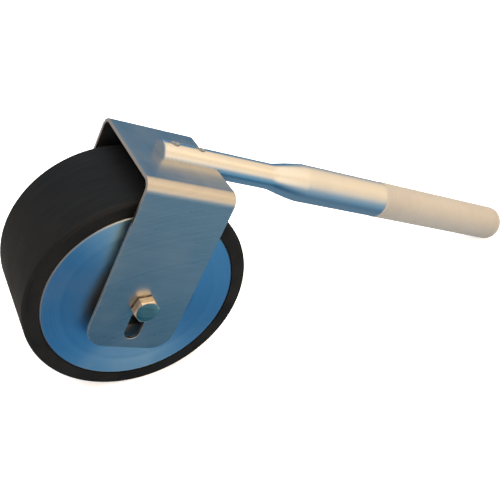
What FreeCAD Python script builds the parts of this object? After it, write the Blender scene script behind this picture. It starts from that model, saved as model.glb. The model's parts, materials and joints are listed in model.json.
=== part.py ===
"""Hand roller: a rubber-covered steel wheel on a floating axle, in a slotted yoke with a turned handle.

The yoke is folded from sheet metal. It is designed upright: its legs hang along -Z from a top plate, the
axle lies along Y and the handle runs along +X. The whole roller is then leaned about the axle until the
end of the handle rests on the same surface as the wheel. The origin is the centre of the axle. All
lengths are in millimetres.
"""

import FreeCAD, Part
import math
import os
import Sketcher
from FreeCAD import Placement, Rotation, Vector

DIMENSIONS = [
    # alias, size, meaning
    ("cover_diameter", 95.25, "rubber cover, outside"),
    ("cover_edge", 2.0, "rubber cover, rounding of its two edges"),
    ("core_diameter", 82.55, "steel core, outside"),
    ("core_width", 44.45, "steel core and rubber cover, width"),
    ("core_chamfer", 0.8, "steel core, chamfer of its rims"),
    ("core_bore", 16.6, "steel core, bore between the bearings"),
    ("fit_gap", 0.01, "radial gap of a light press fit"),
    ("bearing_bore", 12.0, "ball bearing, bore"),
    ("bearing_outside", 28.0, "ball bearing, outside diameter"),
    ("bearing_width", 8.0, "ball bearing, width"),
    ("bearing_depth", 2.5, "ball bearing, depth of its outer side below the core's face"),
    ("bearing_chamfer", 0.3, "ball bearing, chamfer of its rings"),
    ("ball_diameter", 4.76, "ball bearing, balls"),
    ("ball_pitch", 20.0, "ball bearing, diameter of the circle of balls"),
    ("ball_gap", 0.03, "ball bearing, gap between ball and groove"),
    ("inner_land", 17.0, "ball bearing, outside of the inner ring"),
    ("outer_land", 23.2, "ball bearing, inside of the outer ring"),
    ("cage_inside", 18.4, "bearing cage, inside diameter"),
    ("cage_outside", 21.6, "bearing cage, outside diameter"),
    ("cage_width", 6.0, "bearing cage, width"),
    ("cage_gap", 0.1, "bearing cage, gap round a ball"),
    ("shield_gap", 0.3, "bearing shield, gap to the inner ring"),
    ("shield_thickness", 0.35, "bearing shield, thickness"),
    ("shield_recess", 0.25, "bearing shield, depth below the bearing's side"),
    ("spacer_wall", 2.0, "bearing spacer, wall thickness"),
    ("shaft_length", 50.1, "axle shaft, length"),
    ("shaft_chamfer", 0.5, "axle shaft, chamfer of its ends"),
    ("shaft_thread_diameter", 4.8, "tapped hole in each end of the shaft, and the bolt's thread"),
    ("shaft_thread_depth", 14.0, "tapped hole in each end of the shaft, depth"),
    ("bolt_thread_length", 12.0, "axle bolt, length of its thread"),
    ("shoulder_diameter", 6.35, "axle bolt, shoulder that rides in the slot"),
    ("bolt_flats", 10.0, "axle bolt, width across the flats"),
    ("bolt_head", 4.0, "axle bolt, height of the head"),
    ("bolt_crown", 9.3, "axle bolt, diameter of the crown's flat and of the round face under the head"),
    ("bolt_face", 0.4, "axle bolt, height of the round face under the head"),
    ("bolt_turn", 17.5, "axle bolt, turn of its flats in degrees"),
    ("spacer_washer_outside", 13.0, "spacer washer, outside diameter"),
    ("spacer_washer_thickness", 0.5, "spacer washer, thickness"),
    ("washer_gap", 0.1, "clearance along the shoulder, on each side of washer and leg"),
    ("shaft_ring_thickness", 1.0, "outside retaining ring, thickness"),
    ("shaft_ring_depth", 0.25, "outside retaining ring, depth of its groove"),
    ("shaft_ring_outside", 15.6, "outside retaining ring, outside diameter"),
    ("core_ring_thickness", 1.2, "inside retaining ring, thickness"),
    ("core_ring_depth", 0.7, "inside retaining ring, depth of its groove"),
    ("core_ring_inside", 24.0, "inside retaining ring, inside diameter"),
    ("ring_gap", 0.05, "retaining rings, clearance in the groove"),
    ("sheet", 1.6, "yoke, thickness of the sheet"),
    ("yoke_outside", 54.7, "yoke, width over its two legs"),
    ("yoke_length", 39.4, "yoke, width of each leg and length of the top plate"),
    ("yoke_top", 55.55, "yoke, height of its top above the axle"),
    ("yoke_drop", 22.15, "yoke, depth of its legs below the axle"),
    ("yoke_bend", 5.0, "yoke, outside radius of its two bends"),
    ("leg_corner", 9.5, "yoke, rounding of the legs' lower corners"),
    ("sheet_break", 0.2, "yoke, rounding of the cut edges"),
    ("slot_width", 7.0, "yoke, width of the slots"),
    ("slot_bottom", 17.35, "yoke, depth of the slots' lower ends below the axle"),
    ("slot_gap", 0.1, "yoke, gap between the slot's upper end and the shoulder"),
    ("stub_end", 5.9, "handle, how far the stub passes the axle towards -X"),
    ("stub_flat", 0.35, "handle, height of the milled flat above the handle's axis"),
    ("stub_shoulder", 20.3, "handle, where the milled flat stops, from the axle"),
    ("stub_chamfer", 0.4, "handle and its screws, chamfer of their ends"),
    ("neck_diameter", 11.4, "handle, stub and neck"),
    ("barrel_diameter", 17.1, "handle, smooth barrel"),
    ("flare_start", 47.3, "handle, start of the flare, from the axle"),
    ("flare_turn", 51.5, "handle, where the flare's hollow turns to a swell, from the axle"),
    ("flare_turn_diameter", 12.32, "handle, diameter where the flare's hollow turns to a swell"),
    ("flare_swell", 134.0, "handle, radius of the flare's swell"),
    ("flare_end", 66.0, "handle, end of the flare and its edge to the barrel, from the axle"),
    ("grip_diameter", 17.5, "handle, grip, over its knurl"),
    ("grip_start", 114.6, "handle, start of the grip, from the axle"),
    ("handle_end", 204.6, "handle, its far end, from the axle"),
    ("end_rounding", 5.2, "handle, rounding of its far end"),
    ("screw_first", -0.5, "handle screws, the first one's place along X, from the axle"),
    ("screw_pitch", 12.0, "handle screws, distance between the two"),
    ("screw_diameter", 4.0, "handle screws, thread"),
    ("screw_recess", 1.2, "handle screws, depth of their ends below the stub's top"),
    ("screw_head_diameter", 7.6, "handle screws, head"),
    ("screw_head_height", 2.2, "handle screws, height of the head"),
    ("screw_head_rim", 0.6, "handle screws, height of the head's straight rim"),
    ("screw_head_flat", 3.8, "handle screws, diameter of the flat round the socket"),
    ("screw_head_dome", 2.2, "handle screws, radius of the head's dome"),
    ("screw_key", 2.5, "handle screws, width of the hexagon socket"),
    ("screw_key_depth", 1.3, "handle screws, depth of the hexagon socket"),
    ("screw_clearance", 4.5, "holes in the top plate"),
    ("lock_washer_outside", 7.4, "lock washers, outside diameter"),
    ("lock_washer_inside", 4.2, "lock washers, inside diameter"),
    ("lock_washer_thickness", 1.0, "lock washers, thickness"),
    ("lock_washer_split", 0.8, "lock washers, width of the split"),
    ("ring_opening", 44.0, "retaining rings, angle of the gap in degrees"),
    ("ring_lug", 3.0, "retaining rings, diameter of the two eyes"),
    ("ring_eye", 1.5, "retaining rings, diameter of the plier holes"),
]
BALL_COUNT = 8
SHARP_ANGLE = math.radians(30)
START, END = 1, 2

doc = FreeCAD.newDocument("HandRoller")
sheet = doc.addObject("Spreadsheet::Sheet", "dim")
for row, (alias, size, meaning) in enumerate(DIMENSIONS, start=1):
    sheet.set(f"A{row}", meaning)
    sheet.set(f"B{row}", str(size))
    sheet.setAlias(f"B{row}", alias)
doc.recompute()


def size_of(formula):
    """The number that a sheet formula gives."""
    result = sheet.evalExpression(formula)
    return float(getattr(result, "Value", result))


# ---- sketches ----------------------------------------------------------------------------------


def new_sketch(body, name, role):
    """An empty sketch on one of the body's own origin planes."""
    sketch = body.newObject("Sketcher::SketchObject", name)
    plane = next(item for item in body.Origin.OriginFeatures if item.Role == role)
    sketch.AttachmentSupport = (plane, [""])
    sketch.MapMode = "FlatFace"
    return sketch


def hold(sketch, kind, parts, formula):
    """A constraint whose size is held by a sheet formula."""
    index = sketch.addConstraint(Sketcher.Constraint(kind, *parts, size_of(formula)))
    sketch.setExpression(f"Constraints[{index}]", formula)


def arc_between(here, there, radius, side):
    """The short arc from here to there, with its centre on the given side of the way."""
    way = there - here
    reach = math.sqrt(max(0.0, radius**2 - way.Length**2 / 4))
    left = Vector(-way.y, way.x, 0).normalize()
    centre = (here + there) / 2 + left * (reach if side == "left" else -reach)
    first, last = (here, there) if side == "left" else (there, here)
    low = math.atan2(first.y - centre.y, first.x - centre.x)
    high = math.atan2(last.y - centre.y, last.x - centre.x)
    if high < low:
        high += 2 * math.pi
    return Part.ArcOfCircle(Part.Circle(centre, Vector(0, 0, 1), radius), low, high)


def outline(body, name, role, corners):
    """A closed outline through corners given as pairs of formulas.

    A corner with a radius and a side as well starts an arc, with its centre on that side of the way on.
    """
    sketch = new_sketch(body, name, role)
    spots = [Vector(size_of(corner[0]), size_of(corner[1]), 0) for corner in corners]
    ends = []
    for index, corner in enumerate(corners):
        here, there = spots[index], spots[(index + 1) % len(spots)]
        if len(corner) == 2:
            sketch.addGeometry(Part.LineSegment(here, there), False)
            ends.append((START, END))
            continue
        radius, side = corner[2:]
        sketch.addGeometry(arc_between(here, there, size_of(radius), side), False)
        ends.append((START, END) if side == "left" else (END, START))
    for index, corner in enumerate(corners):
        after = (index + 1) % len(corners)
        join = Sketcher.Constraint("Coincident", index, ends[index][1], after, ends[after][0])
        sketch.addConstraint(join)
        hold(sketch, "DistanceX", (-1, 1, index, ends[index][0]), corner[0])
        hold(sketch, "DistanceY", (-1, 1, index, ends[index][0]), corner[1])
        if len(corner) > 2:
            hold(sketch, "Radius", (index,), corner[2])
    return sketch


def circles(body, name, role, centres, diameter):
    """Equal circles round centres given as pairs of formulas."""
    sketch = new_sketch(body, name, role)
    radius = f"({diameter}) / 2"
    for index, (across, up) in enumerate(centres):
        centre = Vector(size_of(across), size_of(up), 0)
        sketch.addGeometry(Part.Circle(centre, Vector(0, 0, 1), size_of(radius)), False)
        hold(sketch, "DistanceX", (-1, 1, index, 3), across)
        hold(sketch, "DistanceY", (-1, 1, index, 3), up)
        hold(sketch, "Radius", (index,), radius)
    return sketch


def slot_outline(body, name, role, top, bottom, width):
    """An upright slot on the sketch's vertical axis, between a top and a bottom height."""
    sketch = new_sketch(body, name, role)
    radius = size_of(f"({width}) / 2")
    heights = [f"({top}) - ({width}) / 2", f"({bottom}) + ({width}) / 2"]
    axis = Vector(0, 0, 1)
    upper, lower = [Vector(0, size_of(height), 0) for height in heights]
    side = Vector(radius, 0, 0)
    sketch.addGeometry(Part.ArcOfCircle(Part.Circle(upper, axis, radius), 0, math.pi), False)
    sketch.addGeometry(Part.LineSegment(upper - side, lower - side), False)
    sketch.addGeometry(Part.ArcOfCircle(Part.Circle(lower, axis, radius), math.pi, 2 * math.pi), False)
    sketch.addGeometry(Part.LineSegment(lower + side, upper + side), False)
    for index in range(4):
        sketch.addConstraint(Sketcher.Constraint("Tangent", index, END, (index + 1) % 4, START))
    sketch.addConstraint(Sketcher.Constraint("Equal", 0, 2))
    hold(sketch, "Radius", (0,), f"({width}) / 2")
    for index, height in zip((0, 2), heights):
        sketch.addConstraint(Sketcher.Constraint("PointOnObject", index, 3, -2))
        hold(sketch, "DistanceY", (-1, 1, index, 3), height)
    return sketch


# ---- features ----------------------------------------------------------------------------------


def new_body(label):
    body = doc.addObject("PartDesign::Body", label)
    body.Label = label
    return body


def turned(label, corners, axis="V_Axis", angle="360"):
    """A body turned from half a section, drawn on the body's XZ plane."""
    body = new_body(label)
    sketch = outline(body, label + "_section", "XZ_Plane", corners)
    turning = body.newObject("PartDesign::Revolution", label + "_turning")
    turning.Profile = sketch
    turning.ReferenceAxis = (sketch, [axis])
    turning.Midplane = True
    turning.setExpression("Angle", angle)
    doc.recompute()
    return body


def cut_through(body, sketch, name):
    """Cuts a sketch right through the body, both ways, and makes sure that something was cut."""
    before = body.Shape.Volume
    pocket = body.newObject("PartDesign::Pocket", name)
    pocket.Profile = sketch
    pocket.Type = "ThroughAll"
    pocket.SideType = "Symmetric"
    doc.recompute()
    if body.Shape.Volume > before - 0.01:
        raise RuntimeError(name + " cuts nothing")


def cut_length(body, sketch, name, length, reverse):
    """Cuts a sketch to a length, and makes sure that something was cut."""
    before = body.Shape.Volume
    pocket = body.newObject("PartDesign::Pocket", name)
    pocket.Profile = sketch
    pocket.setExpression("Length", length)
    pocket.Reversed = reverse
    doc.recompute()
    if body.Shape.Volume > before - 0.01:
        raise RuntimeError(name + " cuts nothing")


def round_edges(body, name, radius, wanted):
    """Rounds the edges that pass a test of the body's shape and the edge."""
    base = body.Tip
    shape = base.Shape
    names = [f"Edge{number}" for number, edge in enumerate(shape.Edges, 1) if wanted(shape, edge)]
    fillet = body.newObject("PartDesign::Fillet", name)
    fillet.Base = (base, names)
    fillet.setExpression("Radius", radius)
    doc.recompute()


def is_sharp(shape, edge):
    """True where the two faces beside an edge meet at an angle."""
    middle = edge.valueAt((edge.FirstParameter + edge.LastParameter) / 2)
    faces = shape.ancestorsOfType(edge, Part.Face)
    normals = [face.normalAt(*face.Surface.parameter(middle)) for face in faces]
    return len(normals) == 2 and normals[0].getAngle(normals[1]) > SHARP_ANGLE


def primitive(kind, name, place=None, **sizes):
    """A Part primitive whose sizes are bound to formulas."""
    item = doc.addObject(kind, name)
    for size, formula in sizes.items():
        item.setExpression(size, formula)
    if place:
        item.Placement = place
    return item


def fused(name, items):
    item = doc.addObject("Part::MultiFuse", name)
    item.Shapes = items
    return item


def removed(name, base, tools):
    """The base with every tool cut away."""
    tool = tools[0] if len(tools) == 1 else fused(name + "_tools", tools)
    item = doc.addObject("Part::Cut", name)
    item.Base = base
    item.Tool = tool
    return item


def grouped(label, items):
    """Separate equal pieces in one node."""
    item = doc.addObject("Part::Compound", label)
    item.Links = items
    item.Label = label
    return item


def shifted(x=0.0, y=0.0, z=0.0):
    return Placement(Vector(x, y, z), Rotation())


# ---- where the pieces lie ----------------------------------------------------------------------

HANDLE_HEIGHT = "(dim.yoke_top - dim.stub_flat)"


def lean_angle():
    """The lean, in degrees, that lays the handle's rounded end on the surface under the wheel."""
    rounding = size_of("dim.end_rounding")
    along = size_of("dim.handle_end") - rounding
    up = size_of(f"{HANDLE_HEIGHT} - dim.grip_diameter / 2") + rounding
    below = size_of("dim.cover_diameter / 2") - rounding
    return math.degrees(math.atan2(up, along) + math.asin(below / math.hypot(along, up)))


LEAN = Placement(Vector(), Rotation(Vector(0, 1, 0), lean_angle()))
SIDES = {
    "front": LEAN * Placement(Vector(), Rotation(Vector(1, 0, 0), 90)),
    "rear": LEAN * Placement(Vector(), Rotation(Vector(1, 0, 0), -90)),
}
SUBPARTS = []


def place(item, placement):
    """Puts a finished sub-part in its place; on an axle side, its own +Z points away from the wheel."""
    item.Placement = placement
    SUBPARTS.append(item)


# ---- yoke --------------------------------------------------------------------------------------


def make_yoke():
    """The folded sheet: top plate, two bends and two slotted legs with rounded lower corners."""
    yoke = new_body("yoke")
    side, inside = "dim.yoke_outside / 2", "(dim.yoke_outside / 2 - dim.sheet)"
    top, under = "dim.yoke_top", "(dim.yoke_top - dim.sheet)"
    bend, tight = "dim.yoke_bend", "(dim.yoke_bend - dim.sheet)"
    low = "-dim.yoke_drop"
    section = outline(yoke, "yoke_section", "YZ_Plane", [
        (f"-{side}", low),
        (f"-{side}", f"{top} - {bend}", bend, "right"),
        (f"-{side} + {bend}", top),
        (f"{side} - {bend}", top, bend, "right"),
        (side, f"{top} - {bend}"),
        (side, low),
        (inside, low),
        (inside, f"{top} - {bend}", tight, "left"),
        (f"{side} - {bend}", under),
        (f"-{side} + {bend}", under, tight, "left"),
        (f"-{inside}", f"{top} - {bend}"),
        (f"-{inside}", low),
    ])
    folded = yoke.newObject("PartDesign::Pad", "yoke_folded")
    folded.Profile = section
    folded.setExpression("Length", "dim.yoke_length")
    folded.SideType = "Symmetric"
    doc.recompute()

    slot_top = "dim.shoulder_diameter / 2 + dim.slot_gap"
    slots = slot_outline(yoke, "yoke_slot", "XZ_Plane", slot_top, "-dim.slot_bottom", "dim.slot_width")
    cut_through(yoke, slots, "yoke_slots")
    centres = [("dim.screw_first", "0"), ("dim.screw_first + dim.screw_pitch", "0")]
    holes = circles(yoke, "yoke_hole", "XY_Plane", centres, "dim.screw_clearance")
    cut_through(yoke, holes, "yoke_holes")

    leg_end = -size_of("dim.yoke_drop")
    half_length = size_of("dim.yoke_length / 2")

    def is_leg_corner(_, edge):
        middle = edge.CenterOfMass
        return abs(middle.z - leg_end) < 0.01 and abs(abs(middle.x) - half_length) < 0.01

    round_edges(yoke, "yoke_leg_corners", "dim.leg_corner", is_leg_corner)
    round_edges(yoke, "yoke_broken_edges", "dim.sheet_break", is_sharp)
    place(yoke, LEAN)


# ---- handle ------------------------------------------------------------------------------------


def make_handle():
    """One bar turned about its own X axis, its stub milled flat underneath and tapped for two screws."""
    neck, barrel, grip = [f"dim.{part}_diameter / 2" for part in ("neck", "barrel", "grip")]
    run = "(dim.flare_turn - dim.flare_start)"
    rise = "((dim.flare_turn_diameter - dim.neck_diameter) / 2)"
    hollow = f"({run} * {run} + {rise} * {rise}) / (2 * {rise})"
    handle = turned("handle", [
        ("-dim.stub_end", "0"),
        ("-dim.stub_end", f"{neck} - dim.stub_chamfer"),
        ("-dim.stub_end + dim.stub_chamfer", neck),
        ("dim.flare_start", neck, hollow, "left"),
        ("dim.flare_turn", "dim.flare_turn_diameter / 2", "dim.flare_swell", "right"),
        ("dim.flare_end", barrel),
        ("dim.grip_start", barrel),
        (f"dim.grip_start + {grip} - {barrel}", grip),
        ("dim.handle_end - dim.end_rounding", grip, "dim.end_rounding", "right"),
        ("dim.handle_end", f"{grip} - dim.end_rounding"),
        ("dim.handle_end", "0"),
    ], "H_Axis")
    milled = outline(handle, "handle_flat", "XZ_Plane", [
        ("-dim.barrel_diameter", "-dim.barrel_diameter"),
        ("dim.stub_shoulder", "-dim.barrel_diameter"),
        ("dim.stub_shoulder", "dim.stub_flat"),
        ("-dim.barrel_diameter", "dim.stub_flat"),
    ])
    cut_through(handle, milled, "handle_milling")
    centres = [("dim.screw_first", "0"), ("dim.screw_first + dim.screw_pitch", "0")]
    tapped = circles(handle, "handle_hole", "XY_Plane", centres, "dim.screw_diameter + 2 * dim.fit_gap")
    cut_through(handle, tapped, "handle_holes")
    place(handle, LEAN * shifted(z=size_of(HANDLE_HEIGHT)))


def make_handle_fasteners():
    """Two button-head screws from under the top plate, each with a split lock washer."""
    under = size_of("dim.yoke_top - dim.sheet")
    seat = under - size_of("dim.lock_washer_thickness")
    stub_top = f"({HANDLE_HEIGHT} + dim.neck_diameter / 2)"
    length = f"{stub_top} - dim.screw_recess - dim.yoke_top + dim.sheet + dim.lock_washer_thickness"
    screws, washers = [], []
    for number in (1, 2):
        x = size_of("dim.screw_first") + (number - 1) * size_of("dim.screw_pitch")
        screw = turned(f"handle_screw_{number}", [
            ("0", "-dim.screw_head_height"),
            ("dim.screw_head_flat / 2", "-dim.screw_head_height", "dim.screw_head_dome", "left"),
            ("dim.screw_head_diameter / 2", "-dim.screw_head_rim"),
            ("dim.screw_head_diameter / 2", "0"),
            ("dim.screw_diameter / 2", "0"),
            ("dim.screw_diameter / 2", f"{length} - dim.stub_chamfer"),
            ("dim.screw_diameter / 2 - dim.stub_chamfer", length),
            ("0", length),
        ])
        corner = "dim.screw_key / sqrt(3)"
        socket = outline(screw, f"handle_screw_{number}_key", "XY_Plane", [
            (corner, "0"),
            (f"{corner} / 2", "dim.screw_key / 2"),
            (f"-{corner} / 2", "dim.screw_key / 2"),
            (f"-{corner}", "0"),
            (f"-{corner} / 2", "-dim.screw_key / 2"),
            (f"{corner} / 2", "-dim.screw_key / 2"),
        ])
        socket.setExpression("AttachmentOffset.Base.z", "-dim.screw_head_height")
        doc.recompute()
        cut_length(screw, socket, f"handle_screw_{number}_socket", "dim.screw_key_depth", True)
        screw.Placement = shifted(x=x, z=seat)
        screws.append(screw)

        name = f"lock_washer_{number}"
        whole = primitive("Part::Cylinder", name + "_disc", Radius="dim.lock_washer_outside / 2",
                          Height="dim.lock_washer_thickness")
        hole = primitive("Part::Cylinder", name + "_hole", Radius="dim.lock_washer_inside / 2",
                         Height="dim.lock_washer_thickness")
        split = primitive("Part::Box", name + "_split", Length="dim.lock_washer_outside",
                          Width="dim.lock_washer_split", Height="dim.lock_washer_thickness")
        washer = removed(name, whole, [hole, split])
        washer.Placement = shifted(x=x, z=seat)
        washers.append(washer)
    place(grouped("handle_screws", screws), LEAN)
    place(grouped("handle_lock_washers", washers), LEAN)


# ---- wheel -------------------------------------------------------------------------------------

FACE = "dim.core_width / 2"
BEARING_TOP = "(dim.core_width / 2 - dim.bearing_depth)"
BEARING_MIDDLE = "(dim.core_width / 2 - dim.bearing_depth - dim.bearing_width / 2)"
BEARING_FOOT = "(dim.core_width / 2 - dim.bearing_depth - dim.bearing_width)"


def mirrored(corners):
    """The same half section below the axle's middle, in the reverse order."""
    return [(across, f"-({up})") for across, up in reversed(corners)]


def make_core():
    """The steel wheel: a bore that opens out at each side for a bearing and its retaining ring."""
    seat = "dim.bearing_outside / 2 + dim.fit_gap"
    groove = "dim.bearing_outside / 2 + dim.core_ring_depth"
    ring_top = f"{BEARING_TOP} + dim.core_ring_thickness + dim.ring_gap"
    upper = [
        ("dim.core_bore / 2", BEARING_FOOT),
        (seat, BEARING_FOOT),
        (seat, BEARING_TOP),
        (groove, BEARING_TOP),
        (groove, ring_top),
        (seat, ring_top),
        (f"{seat} - dim.fit_gap", FACE),
        ("dim.core_diameter / 2 - dim.core_chamfer", FACE),
        ("dim.core_diameter / 2", f"{FACE} - dim.core_chamfer"),
    ]
    place(turned("roller_core", upper + mirrored(upper)), SIDES["rear"])


def make_cover():
    """The rubber sleeve, moulded on the core, its two outer edges rounded."""
    inside, outside = "dim.core_diameter / 2", "dim.cover_diameter / 2"
    edge = "dim.cover_edge"
    place(turned("rubber_cover", [
        (inside, f"-{FACE}"),
        (f"{outside} - {edge}", f"-{FACE}", edge, "left"),
        (outside, f"-{FACE} + {edge}"),
        (outside, f"{FACE} - {edge}", edge, "left"),
        (f"{outside} - {edge}", FACE),
        (inside, FACE),
    ]), SIDES["rear"])


# ---- axle --------------------------------------------------------------------------------------


def make_shaft():
    """The shaft, tapped at both ends and grooved outside the two bearings."""
    radius, hole = "(dim.bearing_bore / 2 - dim.fit_gap)", "(dim.shaft_thread_diameter / 2 + dim.fit_gap)"
    end, chamfer = "dim.shaft_length / 2", "dim.shaft_chamfer"
    groove = f"{radius} - dim.shaft_ring_depth"
    ring_top = f"{BEARING_TOP} + dim.shaft_ring_thickness + dim.ring_gap"
    upper = [
        (radius, BEARING_TOP),
        (groove, BEARING_TOP),
        (groove, ring_top),
        (radius, ring_top),
        (radius, f"{end} - {chamfer}"),
        (f"{radius} - {chamfer}", end),
        (hole, end),
        (hole, f"{end} - dim.shaft_thread_depth"),
        ("0", f"{end} - dim.shaft_thread_depth"),
    ]
    place(turned("axle_shaft", upper + mirrored(upper)), SIDES["rear"])


def tube(label, inside, outside, low, high):
    """A plain turned tube between two heights."""
    return turned(label, [(inside, low), (outside, low), (outside, high), (inside, high)])


def make_spacers():
    """The tube between the bearings, and the thin washer at each end of the shaft."""
    bore = "dim.bearing_bore / 2"
    wall = f"{bore} + dim.spacer_wall"
    place(tube("bearing_spacer", bore, wall, f"-{BEARING_FOOT}", BEARING_FOOT), SIDES["rear"])
    for side, placement in SIDES.items():
        hole, rim = "dim.shoulder_diameter / 2 + dim.washer_gap", "dim.spacer_washer_outside / 2"
        foot, top = "dim.shaft_length / 2", "dim.shaft_length / 2 + dim.spacer_washer_thickness"
        washer = tube(f"spacer_washer_{side}", hole, rim, foot, top)
        place(washer, placement)


def make_bolt(side, placement):
    """A hex-head shoulder bolt: head with a chamfered crown and a round face, shoulder and thread."""
    label = f"axle_bolt_{side}"
    foot = size_of("dim.shaft_length / 2")
    seat = "(dim.yoke_outside / 2 + 2 * dim.washer_gap)"
    head = size_of(seat)
    turn = size_of("dim.bolt_turn") * (1 if side == "front" else -1)
    seated = Placement(Vector(0, 0, head), Rotation(turn, 0, 0))
    flats = primitive("Part::Prism", label + "_flats", seated, Circumradius="dim.bolt_flats / sqrt(3)",
                      Height="dim.bolt_head")
    flats.Polygon = 6
    crown = turned(label + "_crown", [
        ("0", "0"),
        ("dim.bolt_crown / 2", "0"),
        ("dim.bolt_crown / 2", "dim.bolt_face"),
        ("dim.bolt_flats", "dim.bolt_face"),
        ("dim.bolt_flats", "dim.bolt_head - (dim.bolt_flats - dim.bolt_crown / 2) * tan(30)"),
        ("dim.bolt_crown / 2", "dim.bolt_head"),
        ("0", "dim.bolt_head"),
    ])
    crown.Placement = shifted(z=head)
    hexagon = doc.addObject("Part::Common", label + "_hexagon")
    hexagon.Base = flats
    hexagon.Tool = crown
    shoulder = primitive("Part::Cylinder", label + "_shoulder", shifted(z=foot),
                         Radius="dim.shoulder_diameter / 2", Height=f"{seat} - dim.shaft_length / 2")
    thread_end = shifted(z=foot - size_of("dim.bolt_thread_length"))
    thread = primitive("Part::Cylinder", label + "_thread", thread_end,
                       Radius="dim.shaft_thread_diameter / 2", Height="dim.bolt_thread_length")
    bolt = fused(label, [hexagon, shoulder, thread])
    bolt.Label = label
    place(bolt, placement)


# ---- retaining rings ---------------------------------------------------------------------------


def open_ring(label, inside, outside, thickness, lug_reach, placement):
    """A retaining ring on top of a bearing: an open hoop with an eye at each end of its gap."""
    low = size_of(BEARING_TOP)
    section = [(inside, "0"), (outside, "0"), (outside, thickness), (inside, thickness)]
    hoop = turned(label + "_hoop", section, angle="360 - dim.ring_opening")
    lugs, eyes = [], []
    for turn in (-0.5, 0.5):
        angle = math.pi + turn * math.radians(size_of("dim.ring_opening"))
        spot = shifted(size_of(lug_reach) * math.cos(angle), size_of(lug_reach) * math.sin(angle))
        number = len(lugs) + 1
        lugs.append(primitive("Part::Cylinder", f"{label}_lug_{number}", spot, Radius="dim.ring_lug / 2",
                              Height=thickness))
        eyes.append(primitive("Part::Cylinder", f"{label}_eye_{number}", spot, Radius="dim.ring_eye / 2",
                              Height=thickness))
    ring = removed(label, fused(label + "_solid", [hoop] + lugs), eyes)
    ring.Label = label
    place(ring, placement * shifted(z=low))


def make_retaining_rings():
    """One ring in the core and one on the shaft, outside each bearing."""
    shaft_inside = "dim.bearing_bore / 2 - dim.fit_gap - dim.shaft_ring_depth + dim.ring_gap"
    core_outside = "dim.bearing_outside / 2 + dim.core_ring_depth - dim.ring_gap"
    core_inside, shaft_outside = "dim.core_ring_inside / 2", "dim.shaft_ring_outside / 2"
    for side, placement in SIDES.items():
        open_ring(f"core_ring_{side}", core_inside, core_outside, "dim.core_ring_thickness",
                  f"{core_inside} + dim.ring_lug / 10", placement)
        open_ring(f"shaft_ring_{side}", shaft_inside, shaft_outside, "dim.shaft_ring_thickness",
                  f"{shaft_outside} + dim.ring_lug / 10", placement)


# ---- ball bearings -----------------------------------------------------------------------------


def raceway(label, back, land, drop, placement):
    """A bearing ring: chamfered at its back, with a groove for the balls in the land that faces them.

    The drop is how far the land lies from the circle of the balls' centres.
    """
    groove = "(dim.ball_diameter / 2 + dim.ball_gap)"
    reach = f"sqrt({groove} * {groove} - {drop} * {drop})"
    low, high = f"{BEARING_MIDDLE} - dim.bearing_width / 2", f"{BEARING_MIDDLE} + dim.bearing_width / 2"
    outward = size_of(back) > size_of(land)
    shoulder = f"{back} - dim.bearing_chamfer" if outward else f"{back} + dim.bearing_chamfer"
    place(turned(label, [
        (shoulder, low),
        (land, low),
        (land, f"{BEARING_MIDDLE} - {reach}", groove, "left" if outward else "right"),
        (land, f"{BEARING_MIDDLE} + {reach}"),
        (land, high),
        (shoulder, high),
        (back, f"{high} - dim.bearing_chamfer"),
        (back, f"{low} + dim.bearing_chamfer"),
    ]), placement)


def hoop_solid(name, inside, outside, low, height):
    """A plain hoop made of two cylinders."""
    foot = shifted(z=size_of(low))
    disc = primitive("Part::Cylinder", name + "_disc", foot, Radius=outside, Height=height)
    hollow = primitive("Part::Cylinder", name + "_hollow", foot, Radius=inside, Height=height)
    return disc, hollow


def ball_places():
    """The centres of a bearing's balls."""
    reach = size_of("dim.ball_pitch / 2")
    for number in range(BALL_COUNT):
        angle = 2 * math.pi * number / BALL_COUNT
        yield shifted(reach * math.cos(angle), reach * math.sin(angle), size_of(BEARING_MIDDLE))


def make_bearing(side, placement):
    """A sealed deep-groove ball bearing: two rings, the balls, their cage and the two shields."""
    label = f"bearing_{side}"
    raceway(label + "_inner_ring", "dim.bearing_bore / 2", "dim.inner_land / 2",
            "(dim.ball_pitch / 2 - dim.inner_land / 2)", placement)
    raceway(label + "_outer_ring", "dim.bearing_outside / 2", "dim.outer_land / 2",
            "(dim.outer_land / 2 - dim.ball_pitch / 2)", placement)

    balls = [primitive("Part::Sphere", f"{label}_ball_{number}", spot, Radius="dim.ball_diameter / 2")
             for number, spot in enumerate(ball_places())]
    place(grouped(label + "_balls", balls), placement)

    disc, hollow = hoop_solid(label + "_cage", "dim.cage_inside / 2", "dim.cage_outside / 2",
                              f"{BEARING_MIDDLE} - dim.cage_width / 2", "dim.cage_width")
    pockets = [primitive("Part::Sphere", f"{label}_pocket_{number}", spot,
                         Radius="dim.ball_diameter / 2 + dim.cage_gap")
               for number, spot in enumerate(ball_places())]
    cage = removed(label + "_cage", disc, [hollow] + pockets)
    cage.Label = label + "_cage"
    place(cage, placement)

    shields = []
    for face, low in (("outer", f"{BEARING_TOP} - dim.shield_recess - dim.shield_thickness"),
                      ("inner", f"{BEARING_FOOT} + dim.shield_recess")):
        disc, hollow = hoop_solid(f"{label}_{face}_shield", "dim.inner_land / 2 + dim.shield_gap",
                                  "dim.outer_land / 2", low, "dim.shield_thickness")
        shields.append(removed(f"{label}_{face}_shield", disc, [hollow]))
    place(grouped(label + "_shields", shields), placement)


# ---- the whole roller --------------------------------------------------------------------------


def check_document():
    """Stops before anything is written if an object failed or a sub-part's shape is not sound."""
    doc.recompute()
    failed = [item.Name for item in doc.Objects if {"Invalid", "Error"} & set(item.State)]
    unsound = [item.Label for item in SUBPARTS if item.Shape.isNull() or not item.Shape.isValid()]
    if failed or unsound:
        raise RuntimeError(f"failed objects {failed}, unsound shapes {unsound}")


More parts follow.
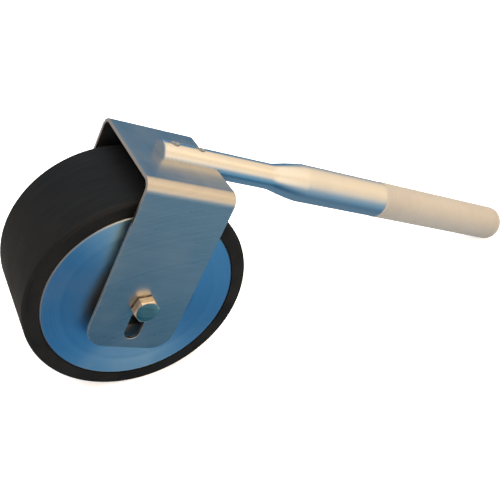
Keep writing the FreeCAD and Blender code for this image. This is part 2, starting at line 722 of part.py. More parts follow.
def write_parts():
    """Writes each sub-part to a STEP file that carries its label."""
    os.makedirs("parts", exist_ok=True)
    for item in SUBPARTS:
        item.Shape.exportStep(f"parts/{item.Label}.step")
        print(f"{item.Label}: {len(item.Shape.Solids)} solid(s), {item.Shape.Volume:.1f} mm3")


make_yoke()
make_handle()
make_handle_fasteners()
make_core()
make_cover()
make_shaft()
make_spacers()
make_retaining_rings()
for side_name, side_placement in SIDES.items():
    make_bolt(side_name, side_placement)
    make_bearing(side_name, side_placement)
check_document()
write_parts()
print(f"lean {lean_angle():.3f} degrees")
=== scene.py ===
import json
import math

import bmesh
import bpy
from mathutils import Matrix, Vector


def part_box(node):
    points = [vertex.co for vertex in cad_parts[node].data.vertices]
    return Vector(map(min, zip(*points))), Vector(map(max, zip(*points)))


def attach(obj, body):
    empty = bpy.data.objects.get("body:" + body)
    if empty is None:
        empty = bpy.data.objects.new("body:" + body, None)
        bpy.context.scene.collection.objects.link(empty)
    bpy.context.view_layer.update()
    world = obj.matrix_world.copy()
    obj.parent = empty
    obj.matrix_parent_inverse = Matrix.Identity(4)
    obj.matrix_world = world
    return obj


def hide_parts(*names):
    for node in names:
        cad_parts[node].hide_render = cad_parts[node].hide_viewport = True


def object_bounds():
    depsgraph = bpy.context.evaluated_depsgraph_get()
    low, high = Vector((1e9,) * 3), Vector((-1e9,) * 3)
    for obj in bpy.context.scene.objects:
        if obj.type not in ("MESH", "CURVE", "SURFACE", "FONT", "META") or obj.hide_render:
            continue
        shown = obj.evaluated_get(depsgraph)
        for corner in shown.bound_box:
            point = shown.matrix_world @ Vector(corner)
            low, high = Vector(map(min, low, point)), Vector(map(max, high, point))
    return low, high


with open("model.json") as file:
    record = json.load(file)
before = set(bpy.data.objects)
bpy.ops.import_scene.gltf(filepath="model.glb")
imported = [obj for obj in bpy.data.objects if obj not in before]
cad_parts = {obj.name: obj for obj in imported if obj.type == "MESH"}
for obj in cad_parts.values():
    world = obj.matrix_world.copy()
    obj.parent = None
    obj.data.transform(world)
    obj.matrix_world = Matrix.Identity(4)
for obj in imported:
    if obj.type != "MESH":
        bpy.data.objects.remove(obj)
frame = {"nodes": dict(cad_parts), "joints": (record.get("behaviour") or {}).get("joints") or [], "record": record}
cad_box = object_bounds()

MM = 0.001
NODES = frame["nodes"]
JOINTS = {joint["name"]: joint for joint in frame["joints"]}
MOUNTS = {mount["name"]: mount for mount in frame["record"]["mounts"]}
SIDES = ("front", "rear")

# The yoke's own axes in the row frame: along the handle, along the axle, and up the legs.
ALONG = Vector(MOUNTS["grip"]["axis"]).normalized()
ACROSS = Vector((0, 1, 0))
UP = -Vector(JOINTS["axle_float"]["axis"]).normalized()
YOKE_FRAME = Matrix((ALONG, ACROSS, UP)).transposed()
FLOOR = cad_box[0].z


def yoke_point(x, y, z):
    """A point given in the upright yoke's frame, in millimetres, as a point of the row frame."""
    return YOKE_FRAME @ Vector((x, y, z)) * MM


def yoke_direction(x, y, z):
    """A direction given in the upright yoke's frame, as a direction of the row frame."""
    return ALONG * x + ACROSS * y + UP * z


def yoke_reach(node, axis):
    """How far a CAD node reaches along one of the yoke's axes, lowest and highest, in millimetres."""
    distances = [vertex.co.dot(axis) / MM for vertex in NODES[node].data.vertices]
    return min(distances), max(distances)


# ---- camera ------------------------------------------------------------------------------------

# The photo's viewpoint in the yoke's frame: its place, where it looks, and where its top points.
VIEW_PLACE = (-148.66, -250.98, 165.62)
VIEW_AHEAD = (0.5795, 0.7010, -0.4156)
VIEW_TOP = (-0.1134, 0.5744, 0.8107)
SENSOR, LENS = 36.0, 55.39
NEAREST, FARTHEST = 0.01, 100.0


def make_camera():
    """Stands in front of the wheel, on the side away from the handle, and looks down at it."""
    ahead = yoke_direction(*VIEW_AHEAD).normalized()
    right = ahead.cross(yoke_direction(*VIEW_TOP)).normalized()
    turn = Matrix((right, right.cross(ahead), -ahead)).transposed()
    data = bpy.data.cameras.new("camera")
    data.sensor_width = SENSOR
    data.lens = LENS
    data.clip_start = NEAREST
    data.clip_end = FARTHEST
    camera = bpy.data.objects.new("camera", data)
    camera.matrix_world = Matrix.Translation(yoke_point(*VIEW_PLACE)) @ turn.to_4x4()
    bpy.context.scene.collection.objects.link(camera)
    bpy.context.scene.camera = camera


# ---- node materials ----------------------------------------------------------------------------


class Graph:
    """A node tree, with short calls that add nodes to it and join them."""

    def __init__(self, tree):
        self.tree = tree

    def add(self, kind, **settings):
        node = self.tree.nodes.new(kind)
        for name, value in settings.items():
            setattr(node, name, value)
        return node

    def feed(self, socket, value):
        """Joins an output to a socket, or sets the socket to a plain value."""
        if isinstance(value, bpy.types.NodeSocket):
            self.tree.links.new(value, socket)
        else:
            socket.default_value = value

    def feed_all(self, node, values):
        for socket, value in zip(node.inputs, values):
            self.feed(socket, value)

    def number(self, operation, *values):
        node = self.add("ShaderNodeMath", operation=operation)
        self.feed_all(node, values)
        return node.outputs[0]

    def vector(self, operation, *values, output="Vector"):
        node = self.add("ShaderNodeVectorMath", operation=operation)
        self.feed_all(node, values)
        return node.outputs[output]

    def span(self, value, low, high, to_low=0, to_high=1, interpolation="LINEAR"):
        """Maps a value from one span to another and clamps it there."""
        node = self.add("ShaderNodeMapRange", interpolation_type=interpolation)
        self.feed_all(node, (value, low, high, to_low, to_high))
        return node.outputs[0]

    def mixed(self, factor, first, second):
        """The first colour where the factor is 0, and the second where it is 1."""
        node = self.add("ShaderNodeMix", data_type="RGBA")
        self.feed(node.inputs["Factor"], factor)
        for name, colour in (("A", first), ("B", second)):
            socket = next(s for s in node.inputs if s.name == name and s.type == "RGBA")
            self.feed(socket, colour if isinstance(colour, bpy.types.NodeSocket) else (*colour, 1))
        return next(s for s in node.outputs if s.type == "RGBA")


class Finish(Graph):
    """A node material round one Principled shader. Its texture lengths are in metres."""

    def __init__(self, name, colour, metallic, roughness, anisotropic=0.0, specular=0.5):
        self.material = bpy.data.materials.new(name)
        self.material.use_nodes = True
        super().__init__(self.material.node_tree)
        self.shader = self.tree.nodes["Principled BSDF"]
        self.shader.inputs["Base Color"].default_value = (*colour, 1)
        self.shader.inputs["Metallic"].default_value = metallic
        self.shader.inputs["Roughness"].default_value = roughness
        self.shader.inputs["Anisotropic"].default_value = anisotropic
        self.shader.inputs["Specular IOR Level"].default_value = specular
        self.position = self.add("ShaderNodeTexCoord").outputs["Object"]

    def distance_along(self, axis):
        """How far the shaded point lies along an axis from the origin."""
        return self.vector("DOT_PRODUCT", self.position, tuple(axis), output="Value")

    def length(self, vector):
        return self.vector("LENGTH", vector, output="Value")

    def plus(self, first, second, share=1):
        """The first value plus a share of the second."""
        if share != 1:
            second = self.number("MULTIPLY", second, share)
        return self.number("ADD", first, second)

    def blend(self, first, share, second):
        """A share of the first value, and for the rest the second."""
        return self.plus(self.number("MULTIPLY", first, share), second, 1 - share)

    def combined(self, x, y, z):
        node = self.add("ShaderNodeCombineXYZ")
        self.feed_all(node, (x, y, z))
        return node.outputs[0]

    def stretched(self, coordinates, scales):
        """Coordinates times a scale for each axis, so that a noise becomes streaks."""
        return self.vector("MULTIPLY", coordinates, scales)

    def noise(self, coordinates, scale=1.0, detail=2.0, roughness=0.5, distortion=0.0):
        node = self.add("ShaderNodeTexNoise")
        self.feed(node.inputs["Vector"], coordinates)
        node.inputs["Scale"].default_value = scale
        node.inputs["Detail"].default_value = detail
        node.inputs["Roughness"].default_value = roughness
        node.inputs["Distortion"].default_value = distortion
        return node.outputs["Fac"]

    def rings(self, distance, density, detail=3):
        """A noise that changes with one distance only, so that it makes rings, arcs or lines."""
        scaled = self.number("MULTIPLY", distance, density)
        return self.noise(self.combined(scaled, 0, 0), detail=detail)

    def colour(self, value):
        self.feed(self.shader.inputs["Base Color"], value)

    def roughness(self, value):
        self.feed(self.shader.inputs["Roughness"], value)

    def tangent(self, value):
        self.feed(self.shader.inputs["Tangent"], value)

    def bump(self, height, depth):
        """Fine relief of a given depth."""
        node = self.add("ShaderNodeBump")
        node.inputs["Strength"].default_value = 1.0
        node.inputs["Distance"].default_value = depth
        self.feed(node.inputs["Height"], height)
        self.feed(self.shader.inputs["Normal"], node.outputs["Normal"])


def brushed_sheet():
    """Neutral sheet steel, brushed along the handle, with faint arcs of a grinding disc."""
    dark, light, stained = (0.46, 0.465, 0.47), (0.54, 0.54, 0.54), (0.56, 0.56, 0.56)
    fine_scales, broad_scales = (30, 1500, 1500), (14, 420, 420)
    arc_density, blotch_scale, arc_depth = 700, 60, 0.0000015
    disc_along, disc_up = 0.055, -0.10
    finish = Finish("brushed_sheet", (0.36, 0.40, 0.45), 1.0, 0.3, anisotropic=0.55)
    along, across, up = [finish.distance_along(axis) for axis in (ALONG, ACROSS, UP)]
    place = finish.combined(along, across, up)
    beside_disc = finish.number("SUBTRACT", along, disc_along)
    above_disc = finish.number("SUBTRACT", up, disc_up)
    reach = finish.length(finish.combined(beside_disc, 0, above_disc))
    arcs = finish.rings(reach, arc_density)
    fine = finish.noise(finish.stretched(place, fine_scales))
    broad = finish.noise(finish.stretched(place, broad_scales), detail=3)
    blotch = finish.noise(place, scale=blotch_scale, detail=3)
    grain = finish.blend(finish.blend(fine, 0.45, broad), 0.45, arcs)
    tone = finish.mixed(finish.span(grain, 0.35, 0.65), dark, light)
    finish.colour(finish.mixed(finish.span(blotch, 0.5, 0.75, 0, 0.3), tone, stained))
    brushed = finish.span(grain, 0.3, 0.7, 0.26, 0.30)
    finish.roughness(finish.plus(brushed, finish.span(blotch, 0.4, 0.7, 0, 0.05)))
    normal = finish.add("ShaderNodeNewGeometry").outputs["Normal"]
    crosswise = finish.vector("CROSS_PRODUCT", normal, tuple(ALONG))
    finish.tangent(finish.vector("NORMALIZE", crosswise))
    finish.bump(arcs, arc_depth)
    return finish.material


def faced_steel():
    """The wheel's core, faced on a lathe: fine rings round the axle, tinted blue as a painted reflection,
    darkened at its middle as painted shade and lighter at its broken rim as a painted highlight."""
    # The blue in these tones is a painted reflection of a blue surround, not the steel's own colour.
    dark, light, worn = (0.28, 0.54, 0.76), (0.37, 0.65, 0.88), (0.46, 0.66, 0.84)
    # Painted shade for the core's middle, and a painted highlight for its rim.
    painted_shade, bright = (0.26, 0.24, 0.22), (0.55, 0.56, 0.57)
    ring_density, band_density, blotch_scale, ring_depth = 2600, 330, 45, 0.00002
    painted_shade_inside, painted_shade_outside, painted_shade_wander = 0.021, 0.026, 0.004
    rim_inside, rim_outside = 0.0402, 0.0407
    finish = Finish("faced_steel", (0.4, 0.5, 0.6), 1.0, 0.28, anisotropic=0.85)
    outward = finish.stretched(finish.position, (1, 0, 1))
    reach = finish.length(outward)
    blotch = finish.noise(finish.position, scale=blotch_scale, detail=3, distortion=0.4)
    bands = finish.rings(reach, band_density, detail=2)
    cut = finish.blend(finish.rings(reach, ring_density), 0.6, bands)
    tone = finish.mixed(finish.span(cut, 0.35, 0.65), dark, light)
    tone = finish.mixed(finish.span(blotch, 0.45, 0.7, 0, 0.35), tone, worn)
    # Painted shade: the core is darkened inside this wavy radius.
    wavy_reach = finish.plus(reach, blotch, painted_shade_wander)
    tone = finish.mixed(finish.span(wavy_reach, painted_shade_inside, painted_shade_outside), painted_shade, tone)
    # Painted highlight: the chamfered rim is made lighter.
    finish.colour(finish.mixed(finish.span(reach, rim_inside, rim_outside), tone, bright))
    turned = finish.span(cut, 0.3, 0.7, 0.29, 0.40)
    finish.roughness(finish.plus(turned, finish.span(blotch, 0.4, 0.7, 0, 0.06)))
    finish.tangent(finish.vector("NORMALIZE", outward))
    finish.bump(cut, ring_depth)
    return finish.material


def ground_rubber():
    """Black rubber, ground round its tread, with a fine grain and faint dusty patches."""
    dark, light, dusty = (0.004, 0.004, 0.0041), (0.0085, 0.0085, 0.009), (0.014, 0.0125, 0.011)
    line_scales, grain_scale, dust_scale, depth = (60, 2400, 60), 2600, 55, 0.00005
    finish = Finish("ground_rubber", (0.02, 0.02, 0.02), 0.0, 0.6, specular=0.13)
    lines = finish.noise(finish.stretched(finish.position, line_scales), detail=4)
    grain = finish.noise(finish.position, scale=grain_scale, detail=3)
    dust = finish.noise(finish.position, scale=dust_scale, detail=4, roughness=0.6)
    tone = finish.mixed(finish.span(lines, 0.3, 0.7), dark, light)
    finish.colour(finish.mixed(finish.span(dust, 0.5, 0.8, 0, 0.5), tone, dusty))
    finish.roughness(finish.span(dust, 0.3, 0.7, 0.50, 0.66))
    finish.bump(finish.plus(lines, grain, 0.6), depth)
    return finish.material


def turned_bar(name, dark, light, rough, ring_density, depth, anisotropic=0.0, metallic=1.0, satin=0.0):
    """Turned aluminium: fine rings round the bar, a faint cloudy film on it, and a finish that may
    be more satin from the flare to the handle's end."""
    film_scale, speckle_scale, film_tone = 90, 1500, 0.94
    satin_start, satin_full = 0.050, 0.066
    finish = Finish(name, dark, metallic, rough[0], anisotropic=anisotropic)
    along = finish.distance_along(ALONG)
    rings = finish.rings(along, ring_density)
    film = finish.noise(finish.position, scale=film_scale, detail=4, roughness=0.6)
    speckle = finish.noise(finish.position, scale=speckle_scale)
    tone = finish.mixed(finish.span(rings, 0.3, 0.7), dark, light)
    cloudy = tuple(channel * film_tone for channel in dark)
    finish.colour(finish.mixed(finish.span(film, 0.45, 0.75, 0, 0.35), tone, cloudy))
    turned = finish.span(finish.plus(rings, film), 0.7, 1.3, *rough)
    finish.roughness(finish.plus(turned, finish.span(along, satin_start, satin_full, 0, satin)))
    finish.tangent(tuple(ALONG))
    finish.bump(finish.plus(rings, speckle, 0.5), depth)
    return finish.material


def cut_steel(name, axis, dark, light, rough, line_density):
    """Plain machined or plated steel with fine lines square to an axis and small stains."""
    stain_scale, depth = 420, 0.00001
    finish = Finish(name, light, 1.0, rough[0])
    fine = finish.rings(finish.distance_along(axis), line_density)
    stains = finish.noise(finish.position, scale=stain_scale, detail=4, roughness=0.6)
    finish.colour(finish.mixed(finish.span(finish.plus(fine, stains), 0.75, 1.3), light, dark))
    finish.roughness(finish.span(stains, 0.3, 0.7, *rough))
    finish.bump(fine, depth)
    return finish.material


# ---- meshes ------------------------------------------------------------------------------------


def skinned(name, rings, close_ends):
    """An object skinned over closed rings of equally many points, which ends in two flat faces or
    joins its last ring to its first. Every face looks out of it."""
    mesh = bmesh.new()
    rows = [[mesh.verts.new(point) for point in ring] for ring in rings]
    pairs = list(zip(rows, rows[1:]))
    if not close_ends:
        pairs.append((rows[-1], rows[0]))
    for row, after in pairs:
        for index in range(len(row)):
            beside = (index + 1) % len(row)
            mesh.faces.new((row[index], row[beside], after[beside], after[index]))
    if close_ends:
        mesh.faces.new(list(reversed(rows[0])))
        mesh.faces.new(rows[-1])
    bmesh.ops.recalc_face_normals(mesh, faces=mesh.faces)
    if mesh.calc_volume(signed=True) < 0:
        bmesh.ops.reverse_faces(mesh, faces=mesh.faces)
    data = bpy.data.meshes.new(name)
    mesh.to_mesh(data)
    mesh.free()
    piece = bpy.data.objects.new(name, data)
    bpy.context.scene.collection.objects.link(piece)
    return piece


def make_piece(name, rings, material, body, node, close_ends=True):
    """A detailed piece that stands for a CAD node and rides on its body."""
    piece = skinned(name, rings, close_ends)
    piece.data.materials.append(material)
    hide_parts(node)
    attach(piece, body)
    return piece


def shade(piece, angle):
    """Smooth shading that keeps edges sharper than an angle, in degrees."""
    data = piece.data
    for polygon in data.polygons:
        polygon.use_smooth = True
    mesh = bmesh.new()
    mesh.from_mesh(data)
    for edge in mesh.edges:
        edge.smooth = len(edge.link_faces) == 2 and edge.calc_face_angle(0) < math.radians(angle)
    mesh.to_mesh(data)
    mesh.free()


def full_turn(steps):
    """The angles of a full turn in equal steps, in radians."""
    return [2 * math.pi * step / steps for step in range(steps)]


def arc(centre, radius, start, end, steps):
    """Points of an arc in a half section, as (along, outward) pairs; angles in degrees from the axis."""
    angles = [math.radians(start + (end - start) * step / steps) for step in range(steps + 1)]
    return [(centre[0] + radius * math.cos(turn), centre[1] + radius * math.sin(turn)) for turn in angles]


def divided(start, end, pitch):
    """Stations from start up to end, none further apart than a pitch, without the end."""
    count = max(1, math.ceil(abs(end - start) / pitch))
    return [start + (end - start) * index / count for index in range(count)]


# ---- the rubber cover --------------------------------------------------------------------------

COVER_EDGE, GROOVE_DEPTH, GROOVE_PITCH = 2.0, 0.03, 0.65
COVER_STEPS, COVER_EDGE_STEPS = 256, 8


def make_cover():
    """The rubber cover, with rounded edges and the fine grooves that grinding leaves on the tread."""
    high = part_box("rubber_cover")[1]
    outside, half = high.x / MM, high.y / MM
    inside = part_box("roller_core")[1].x / MM
    edge_across, edge_reach = half - COVER_EDGE, outside - COVER_EDGE
    section = [(-half, inside)]
    section += arc((-edge_across, edge_reach), COVER_EDGE, 180, 90, COVER_EDGE_STEPS)[:-1]
    for number, across in enumerate(divided(-edge_across, edge_across, GROOVE_PITCH / 2)):
        section.append((across, outside - (GROOVE_DEPTH if number % 2 else 0)))
    section += arc((edge_across, edge_reach), COVER_EDGE, 90, 0, COVER_EDGE_STEPS)
    section.append((half, inside))
    headings = [(math.cos(turn), math.sin(turn)) for turn in full_turn(COVER_STEPS)]
    rings = []
    for across, reach in section:
        rings.append([Vector((reach * x, across, reach * z)) * MM for x, z in headings])
    piece = make_piece("rubber_tread", rings, ground_rubber(), "roller", "rubber_cover", close_ends=False)
    shade(piece, 50)


# ---- the hex bolts -----------------------------------------------------------------------------

# Radii and heights in millimetres, and how far one flat's middle is turned from the handle's direction.
FLAT_REACH, CORNER_ROUNDING, EDGE_SOFTENING = 5.0, 0.28, 0.14
CROWN, CROWN_BLEND, CROWN_SLOPE = 4.65, 0.2, math.tan(math.radians(30))
SEAT_GAP, FACE_HEIGHT = 0.2, 0.4
SHOULDER, THREAD, THREAD_LENGTH, THREAD_CHAMFER = 3.175, 2.4, 12.0, 0.4
HEAD_TURN = math.radians(47.5)
HALF_FLAT = math.pi / 6
BOLT_STEPS = 180


def hexagon_reach(turn):
    """How far a hexagon with rounded corners reaches at an angle from the middle of a flat."""
    angle = (turn + HALF_FLAT) % (2 * HALF_FLAT) - HALF_FLAT
    inner = FLAT_REACH - CORNER_ROUNDING
    if abs(FLAT_REACH * math.tan(angle)) <= inner * math.tan(HALF_FLAT):
        return FLAT_REACH / math.cos(angle)
    corner = inner / math.cos(HALF_FLAT)
    aside = HALF_FLAT - abs(angle)
    return corner * math.cos(aside) + math.sqrt(CORNER_ROUNDING**2 - (corner * math.sin(aside)) ** 2)


def bolt_outline(turn, foot, seat, top):
    """The bolt's half section at an angle from the middle of a flat, as (reach, height) pairs,
    from the tip of its thread to the flat top of its head."""
    hexagon = hexagon_reach(turn)
    softened = hexagon - EDGE_SOFTENING
    face = seat + FACE_HEIGHT
    outline = [
        (THREAD - THREAD_CHAMFER, foot - THREAD_LENGTH),
        (THREAD, foot - THREAD_LENGTH + THREAD_CHAMFER),
        (THREAD, foot),
        (SHOULDER, foot),
        (SHOULDER, seat),
        (CROWN, seat),
        (CROWN, face),
        (softened, face),
        (hexagon, face + EDGE_SOFTENING),
        (hexagon, top - (hexagon - CROWN) * CROWN_SLOPE - EDGE_SOFTENING),
        (softened, top - (softened - CROWN) * CROWN_SLOPE),
    ]
    for aside in (0.18, 0.06, -0.06, -CROWN_BLEND):
        sink = CROWN_SLOPE * (aside + CROWN_BLEND) ** 2 / (4 * CROWN_BLEND)
        outline.append((CROWN + aside, top - sink))
    outline.append((CROWN / 2, top))
    return outline


def make_bolt(side, finish):
    """A hex bolt with softened edges and a domed crown chamfer, its round face and its shoulder."""
    node = f"axle_bolt_{side}"
    low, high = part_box(node)
    out = -1 if side == "front" else 1
    top = max(abs(low.y), abs(high.y)) / MM
    seat = yoke_reach("yoke", ACROSS)[1] + SEAT_GAP
    foot = yoke_reach("axle_shaft", ACROSS)[1]
    columns = []
    for turn in full_turn(BOLT_STEPS):
        x, z = math.cos(HEAD_TURN + turn), math.sin(HEAD_TURN + turn)
        outline = bolt_outline(turn, foot, seat, top)
        columns.append([yoke_point(reach * x, out * height, reach * z) for reach, height in outline])
    piece = make_piece(f"hex_bolt_{side}", list(zip(*columns)), finish, "axle", node)
    shade(piece, 40)


# ---- the handle --------------------------------------------------------------------------------

# The height of the bar's axis over the axle, radii, and places along the bar, in millimetres.
HANDLE_UP = 55.2
NECK, BARREL, GRIP = 5.7, 8.55, 8.75
FLARE_START, FLARE_TURN, FLARE_END = 47.3, 51.5, 66.0
FLARE_TURN_REACH, FLARE_SWELL = 6.16, 134.0
GRIP_START, END_ROUNDING, BARREL_TUCK = 114.6, 5.2, 1.0
# The stub ends at a shoulder, and its flat lies a little over the bar's axis.
STUB_SHOULDER, SHOULDER_STEP, STUB_FLAT, STUB_CHAMFER = 20.3, 0.01, 0.35, 0.4
HOLES, HOLE_REACH, HOLE_DEPTH = (-0.5, 11.5), 2.05, 1.0
SINK_WIDTH, SINK_DEPTH, DRILL_CLEARANCE = 0.6, 0.55, 1.2
KNURL_PITCH, KNURL_DEPTH, KNURL_ROUNDNESS = 0.8, 0.16, 0.8
KNURL_INSET, KNURL_RUN_OUT = 0.5, 1.0
# How far apart rings of points may be along each stretch, and how far from its edge the first lies.
STUB_PITCH, NECK_PITCH, FLARE_PITCH, BARREL_PITCH = 2.0, 3.0, 0.5, 4.0
THIN_INSET, THICK_INSET = 1.0, 0.4
HANDLE_STEPS, GRIP_STEPS, END_STEPS, HOLE_STEPS = 144, 276, 14, 40


def flare_reach(along):
    """The flare's radius: a hollow that turns to a long swell and meets the barrel at a soft edge."""
    if along < FLARE_TURN:
        run, rise = FLARE_TURN - FLARE_START, FLARE_TURN_REACH - NECK
        hollow = (run * run + rise * rise) / (2 * rise)
        return NECK + hollow - math.sqrt(hollow**2 - (along - FLARE_START) ** 2)
    half = Vector((FLARE_END - FLARE_TURN, BARREL - FLARE_TURN_REACH)) / 2
    sink = math.sqrt(FLARE_SWELL**2 - half.length_squared)
    middle = Vector((FLARE_TURN, FLARE_TURN_REACH)) + half
    centre = middle + Vector((half.y, -half.x)).normalized() * sink
    return centre.y + math.sqrt(FLARE_SWELL**2 - (along - centre.x) ** 2)


def make_handle(finish):
    """The handle's smooth part: milled stub with its two tapped holes, neck, flare and barrel."""
    end = yoke_reach("handle", ALONG)[0]
    barrel_end = GRIP_START + BARREL_TUCK
    section = [(end, NECK - STUB_CHAMFER), (end + STUB_CHAMFER, NECK)]
    section += [(along, NECK) for along in divided(end + THIN_INSET, STUB_SHOULDER, STUB_PITCH)]
    section += [(STUB_SHOULDER - SHOULDER_STEP, NECK), (STUB_SHOULDER, NECK)]
    section += [(along, NECK) for along in divided(STUB_SHOULDER + THIN_INSET, FLARE_START, NECK_PITCH)]
    section += [(along, flare_reach(along)) for along in divided(FLARE_START, FLARE_END, FLARE_PITCH)]
    section.append((FLARE_END, BARREL))
    section += [(along, BARREL) for along in divided(FLARE_END + THICK_INSET, barrel_end, BARREL_PITCH)]
    section.append((barrel_end, BARREL))
    rings = []
    for along, outward in section:
        ring = []
        for turn in full_turn(HANDLE_STEPS):
            height = outward * math.sin(turn)
            if along < STUB_SHOULDER:
                height = max(height, STUB_FLAT)
            ring.append(yoke_point(along, outward * math.cos(turn), HANDLE_UP + height))
        rings.append(ring)
    piece = make_piece("handle_bar", rings, finish, "root", "handle")
    for place in HOLES:
        drill(piece, place)
    shade(piece, 32)


def drill(piece, place):
    """Cuts a tapped hole with a small countersink down through the stub."""
    outline = [
        (HOLE_REACH, -HOLE_DEPTH),
        (HOLE_REACH, NECK - SINK_DEPTH),
        (HOLE_REACH + SINK_WIDTH, NECK + DRILL_CLEARANCE),
    ]
    headings = [(math.cos(turn), math.sin(turn)) for turn in full_turn(HOLE_STEPS)]
    rings = []
    for reach, height in outline:
        rings.append([yoke_point(place + reach * x, reach * y, HANDLE_UP + height) for x, y in headings])
    tool = skinned("drill", rings, close_ends=True)
    cut = piece.modifiers.new("hole", "BOOLEAN")
    cut.operation = "DIFFERENCE"
    cut.solver = "MANIFOLD"
    cut.object = tool
    bpy.context.view_layer.update()
    drilled = piece.evaluated_get(bpy.context.evaluated_depsgraph_get())
    result = bpy.data.meshes.new_from_object(drilled)
    piece.modifiers.clear()
    piece.data = result
    bpy.data.objects.remove(tool)


def knurl_cut(along, turn):
    """How deep the diamond knurl is cut at a place on the grip: 0 on its points, 1 in its grooves."""
    tooth = round(2 * math.pi * GRIP / KNURL_PITCH) * turn
    phase = along / KNURL_PITCH * 2 * math.pi
    left = abs(math.sin((tooth + phase) / 2))
    right = abs(math.sin((tooth - phase) / 2))
    return 1 - min(left, right) ** KNURL_ROUNDNESS


def make_grip(finish):
    """The grip: a real diamond knurl cut into the bar, smooth at its two ends, and the rounded far end."""
    end = yoke_reach("handle", ALONG)[1]
    round_start = end - END_ROUNDING
    section = [(GRIP_START, BARREL), (GRIP_START + GRIP - BARREL, GRIP)]
    section += [(along, GRIP) for along in divided(GRIP_START + THICK_INSET, round_start, KNURL_PITCH / 4)]
    section += arc((round_start, GRIP - END_ROUNDING), END_ROUNDING, 90, 0, END_STEPS)
    rings = []
    for along, outward in section:
        run_in = max(0.0, along - GRIP_START - KNURL_INSET)
        run_out = max(0.0, round_start + KNURL_RUN_OUT - along)
        depth = KNURL_DEPTH * min(1.0, run_in, run_out)
        ring = []
        for turn in full_turn(GRIP_STEPS):
            reach = outward - depth * knurl_cut(along, turn)
            ring.append(yoke_point(along, reach * math.cos(turn), HANDLE_UP + reach * math.sin(turn)))
        rings.append(ring)
    piece = make_piece("handle_grip", rings, finish, "root", "handle")
    shade(piece, 60)


# ---- light and floor ---------------------------------------------------------------------------

# The studio's tones, which the bare metal mirrors, and the middle of its bright side.
WARM_SIDE = Vector((0.80, -0.46, 0.38)).normalized()
WARM, WHITE = (1.28, 0.95, 0.61), (1.60, 1.26, 0.88)
DEEP, BEHIND = (0.14, 0.26, 0.37), (0.74, 0.71, 0.67)
HAZE, COOL, BACK = (0.18, 0.40, 0.57), (0.0, 0.095, 0.205), (0.0, 0.20, 0.40)
PALE, HIGH = (0.56, 0.48, 0.42), (0.78, 0.76, 0.73)
# Directions in the row frame, where the handle points to the right and the front bolt to the front.
TO_LEFT, TO_FRONT, TO_BACK = (-1, 0, 0), (0, -1, 0), (0, 1, 0)
ABOVE, BELOW = (0, 0, 1), (0, 0, -1)
STAGE_REACH = 8.0


def make_world():
    """A studio that is warm and bright towards the handle's end, dim and blue elsewhere, and pale
    overhead, on the left and low at the back."""
    world = bpy.data.worlds.new("studio")
    bpy.context.scene.world = world
    world.use_nodes = True
    sky = Graph(world.node_tree)
    heading = sky.add("ShaderNodeTexCoord").outputs["Generated"]

    def towards(axis, start, full):
        """Rises smoothly from 0 to 1 between two cosines of the angle to an axis."""
        cosine = sky.vector("DOT_PRODUCT", heading, tuple(axis), output="Value")
        return sky.span(cosine, start, full, interpolation="SMOOTHSTEP")

    lit = sky.number("MULTIPLY", towards(WARM_SIDE, 0.32, 0.50), towards(ABOVE, -0.40, 0.07))
    low_back = sky.number("MULTIPLY", towards(TO_BACK, 0.50, 0.66), towards(BELOW, 0.10, 0.40))
    dim = sky.mixed(towards(WARM_SIDE, 0.12, 0.42), COOL, HAZE)
    dim = sky.mixed(towards(BELOW, 0.76, 0.94), dim, DEEP)
    dim = sky.mixed(towards(TO_BACK, 0.3, 0.7), dim, BACK)
    dim = sky.mixed(low_back, dim, BEHIND)
    dim = sky.mixed(towards(TO_LEFT, 0.25, 0.55), dim, PALE)
    dim = sky.mixed(towards(ABOVE, 0.40, 0.80), dim, HIGH)
    bright = sky.mixed(towards(TO_FRONT, 0.60, 0.95), WARM, WHITE)
    bright = sky.mixed(towards(ABOVE, 0.48, 0.68), bright, WHITE)
    sky.feed(sky.tree.nodes["Background"].inputs["Color"], sky.mixed(lit, dim, bright))


def softbox(name, place, target, size, power, colour, reflected):
    """A square area light of a size in metres and a power in watts, which looks at a target."""
    data = bpy.data.lights.new(name, "AREA")
    data.shape = "SQUARE"
    data.size = size
    data.energy = power
    data.color = colour
    lamp = bpy.data.objects.new(name, data)
    lamp.location = place
    lamp.rotation_euler = (Vector(target) - Vector(place)).to_track_quat("-Z", "Y").to_euler()
    lamp.visible_glossy = reflected
    bpy.context.scene.collection.objects.link(lamp)


def make_light():
    """Two warm lights at the handle's side, of which only the weak one shows in the metal, and a
    large neutral one overhead."""
    softbox("key", (0.55, -0.62, 0.50), (0, 0, 0), 0.75, 3.6, (1.0, 0.70, 0.38), reflected=False)
    softbox("edge", (1.03, -0.35, 0.51), (0, 0, 0), 0.45, 0.22, (1.0, 0.74, 0.45), reflected=True)
    softbox("overhead", (0.1, 0.1, 1.4), (0.1, 0, 0), 2.2, 40.0, (0.97, 0.99, 1.0), reflected=False)


def flat_finish(name, colour, glow):
    """A dull material that glows evenly, for the floor and the surround."""
    material = bpy.data.materials.new(name)
    material.use_nodes = True
    shader = material.node_tree.nodes["Principled BSDF"]
    shader.inputs["Base Color"].default_value = (*colour, 1)
    shader.inputs["Roughness"].default_value = 1.0
    shader.inputs["Specular IOR Level"].default_value = 0.0
    shader.inputs["Emission Color"].default_value = (1, 1, 1, 1)
    shader.inputs["Emission Strength"].default_value = glow
    return material


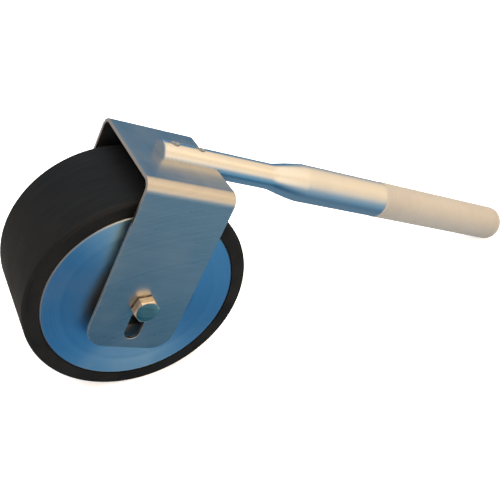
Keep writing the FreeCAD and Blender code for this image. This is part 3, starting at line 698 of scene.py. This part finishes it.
def make_floor():
    """A plain white floor and a white surround, neither of which the metal mirrors."""
    bpy.ops.mesh.primitive_plane_add(size=2 * STAGE_REACH, location=(0, 0, FLOOR))
    floor = bpy.context.object
    floor.name = "floor"
    floor.data.materials.append(flat_finish("floor", (0.90, 0.90, 0.90), 0.6))
    floor.visible_glossy = False
    bpy.ops.mesh.primitive_uv_sphere_add(segments=64, ring_count=32, radius=STAGE_REACH)
    surround = bpy.context.object
    surround.name = "surround"
    surround.data.materials.append(flat_finish("surround", (0, 0, 0), 1.0))
    surround.visible_glossy = False
    surround.visible_diffuse = False
    surround.visible_shadow = False


# ---- the whole scene ---------------------------------------------------------------------------


def paint(material, *names):
    """Gives a material to CAD nodes, in place of their own."""
    for name in names:
        node = NODES[name]
        node.data.materials.clear()
        node.data.materials.append(material)


def both(pattern):
    """The names of a node that there is one of on each side."""
    return [pattern.format(side) for side in SIDES]


make_camera()
make_world()
make_light()
make_floor()

make_handle(turned_bar(
    "turned_bar", (0.64, 0.67, 0.70), (0.71, 0.74, 0.77), rough=(0.24, 0.32),
    ring_density=2600, depth=0.000006, anisotropic=0.3, satin=0.14))
make_grip(turned_bar(
    "knurled_bar", (0.40, 0.375, 0.345), (0.46, 0.435, 0.40), rough=(0.62, 0.74),
    ring_density=1200, depth=0.000012, metallic=0.6))
make_cover()
# The warm gold of these tones is a painted reflection of warm light on the bolt heads.
plated = cut_steel(
    "plated_bolt", UP, (0.55, 0.45, 0.34), (0.82, 0.71, 0.57), rough=(0.12, 0.26), line_density=900)
for side in SIDES:
    make_bolt(side, plated)

paint(brushed_sheet(), "yoke")
paint(faced_steel(), "roller_core")
ground = cut_steel(
    "ground_shaft", ACROSS, (0.36, 0.36, 0.37), (0.56, 0.57, 0.59), rough=(0.22, 0.34), line_density=3200)
paint(ground, "axle_shaft", "bearing_spacer", *both("spacer_washer_{}"))
plain = cut_steel(
    "screw_steel", UP, (0.22, 0.22, 0.23), (0.46, 0.46, 0.47), rough=(0.28, 0.42), line_density=2200)
paint(plain, "handle_screws", "handle_lock_washers")
black = cut_steel(
    "spring_steel", ACROSS, (0.03, 0.03, 0.033), (0.09, 0.09, 0.095), rough=(0.34, 0.5), line_density=1500)
paint(black, *both("core_ring_{}"), *both("shaft_ring_{}"))
polished = cut_steel(
    "bearing_steel", ACROSS, (0.50, 0.51, 0.53), (0.68, 0.69, 0.71), rough=(0.12, 0.22), line_density=2600)
for pattern in ("bearing_{}_inner_ring", "bearing_{}_outer_ring", "bearing_{}_balls", "bearing_{}_shields"):
    paint(polished, *both(pattern))
pressed = cut_steel(
    "cage_steel", ACROSS, (0.42, 0.38, 0.32), (0.58, 0.55, 0.50), rough=(0.3, 0.42), line_density=1200)
paint(pressed, *both("bearing_{}_cage"))

bpy.context.scene.view_settings.view_transform = "Standard"
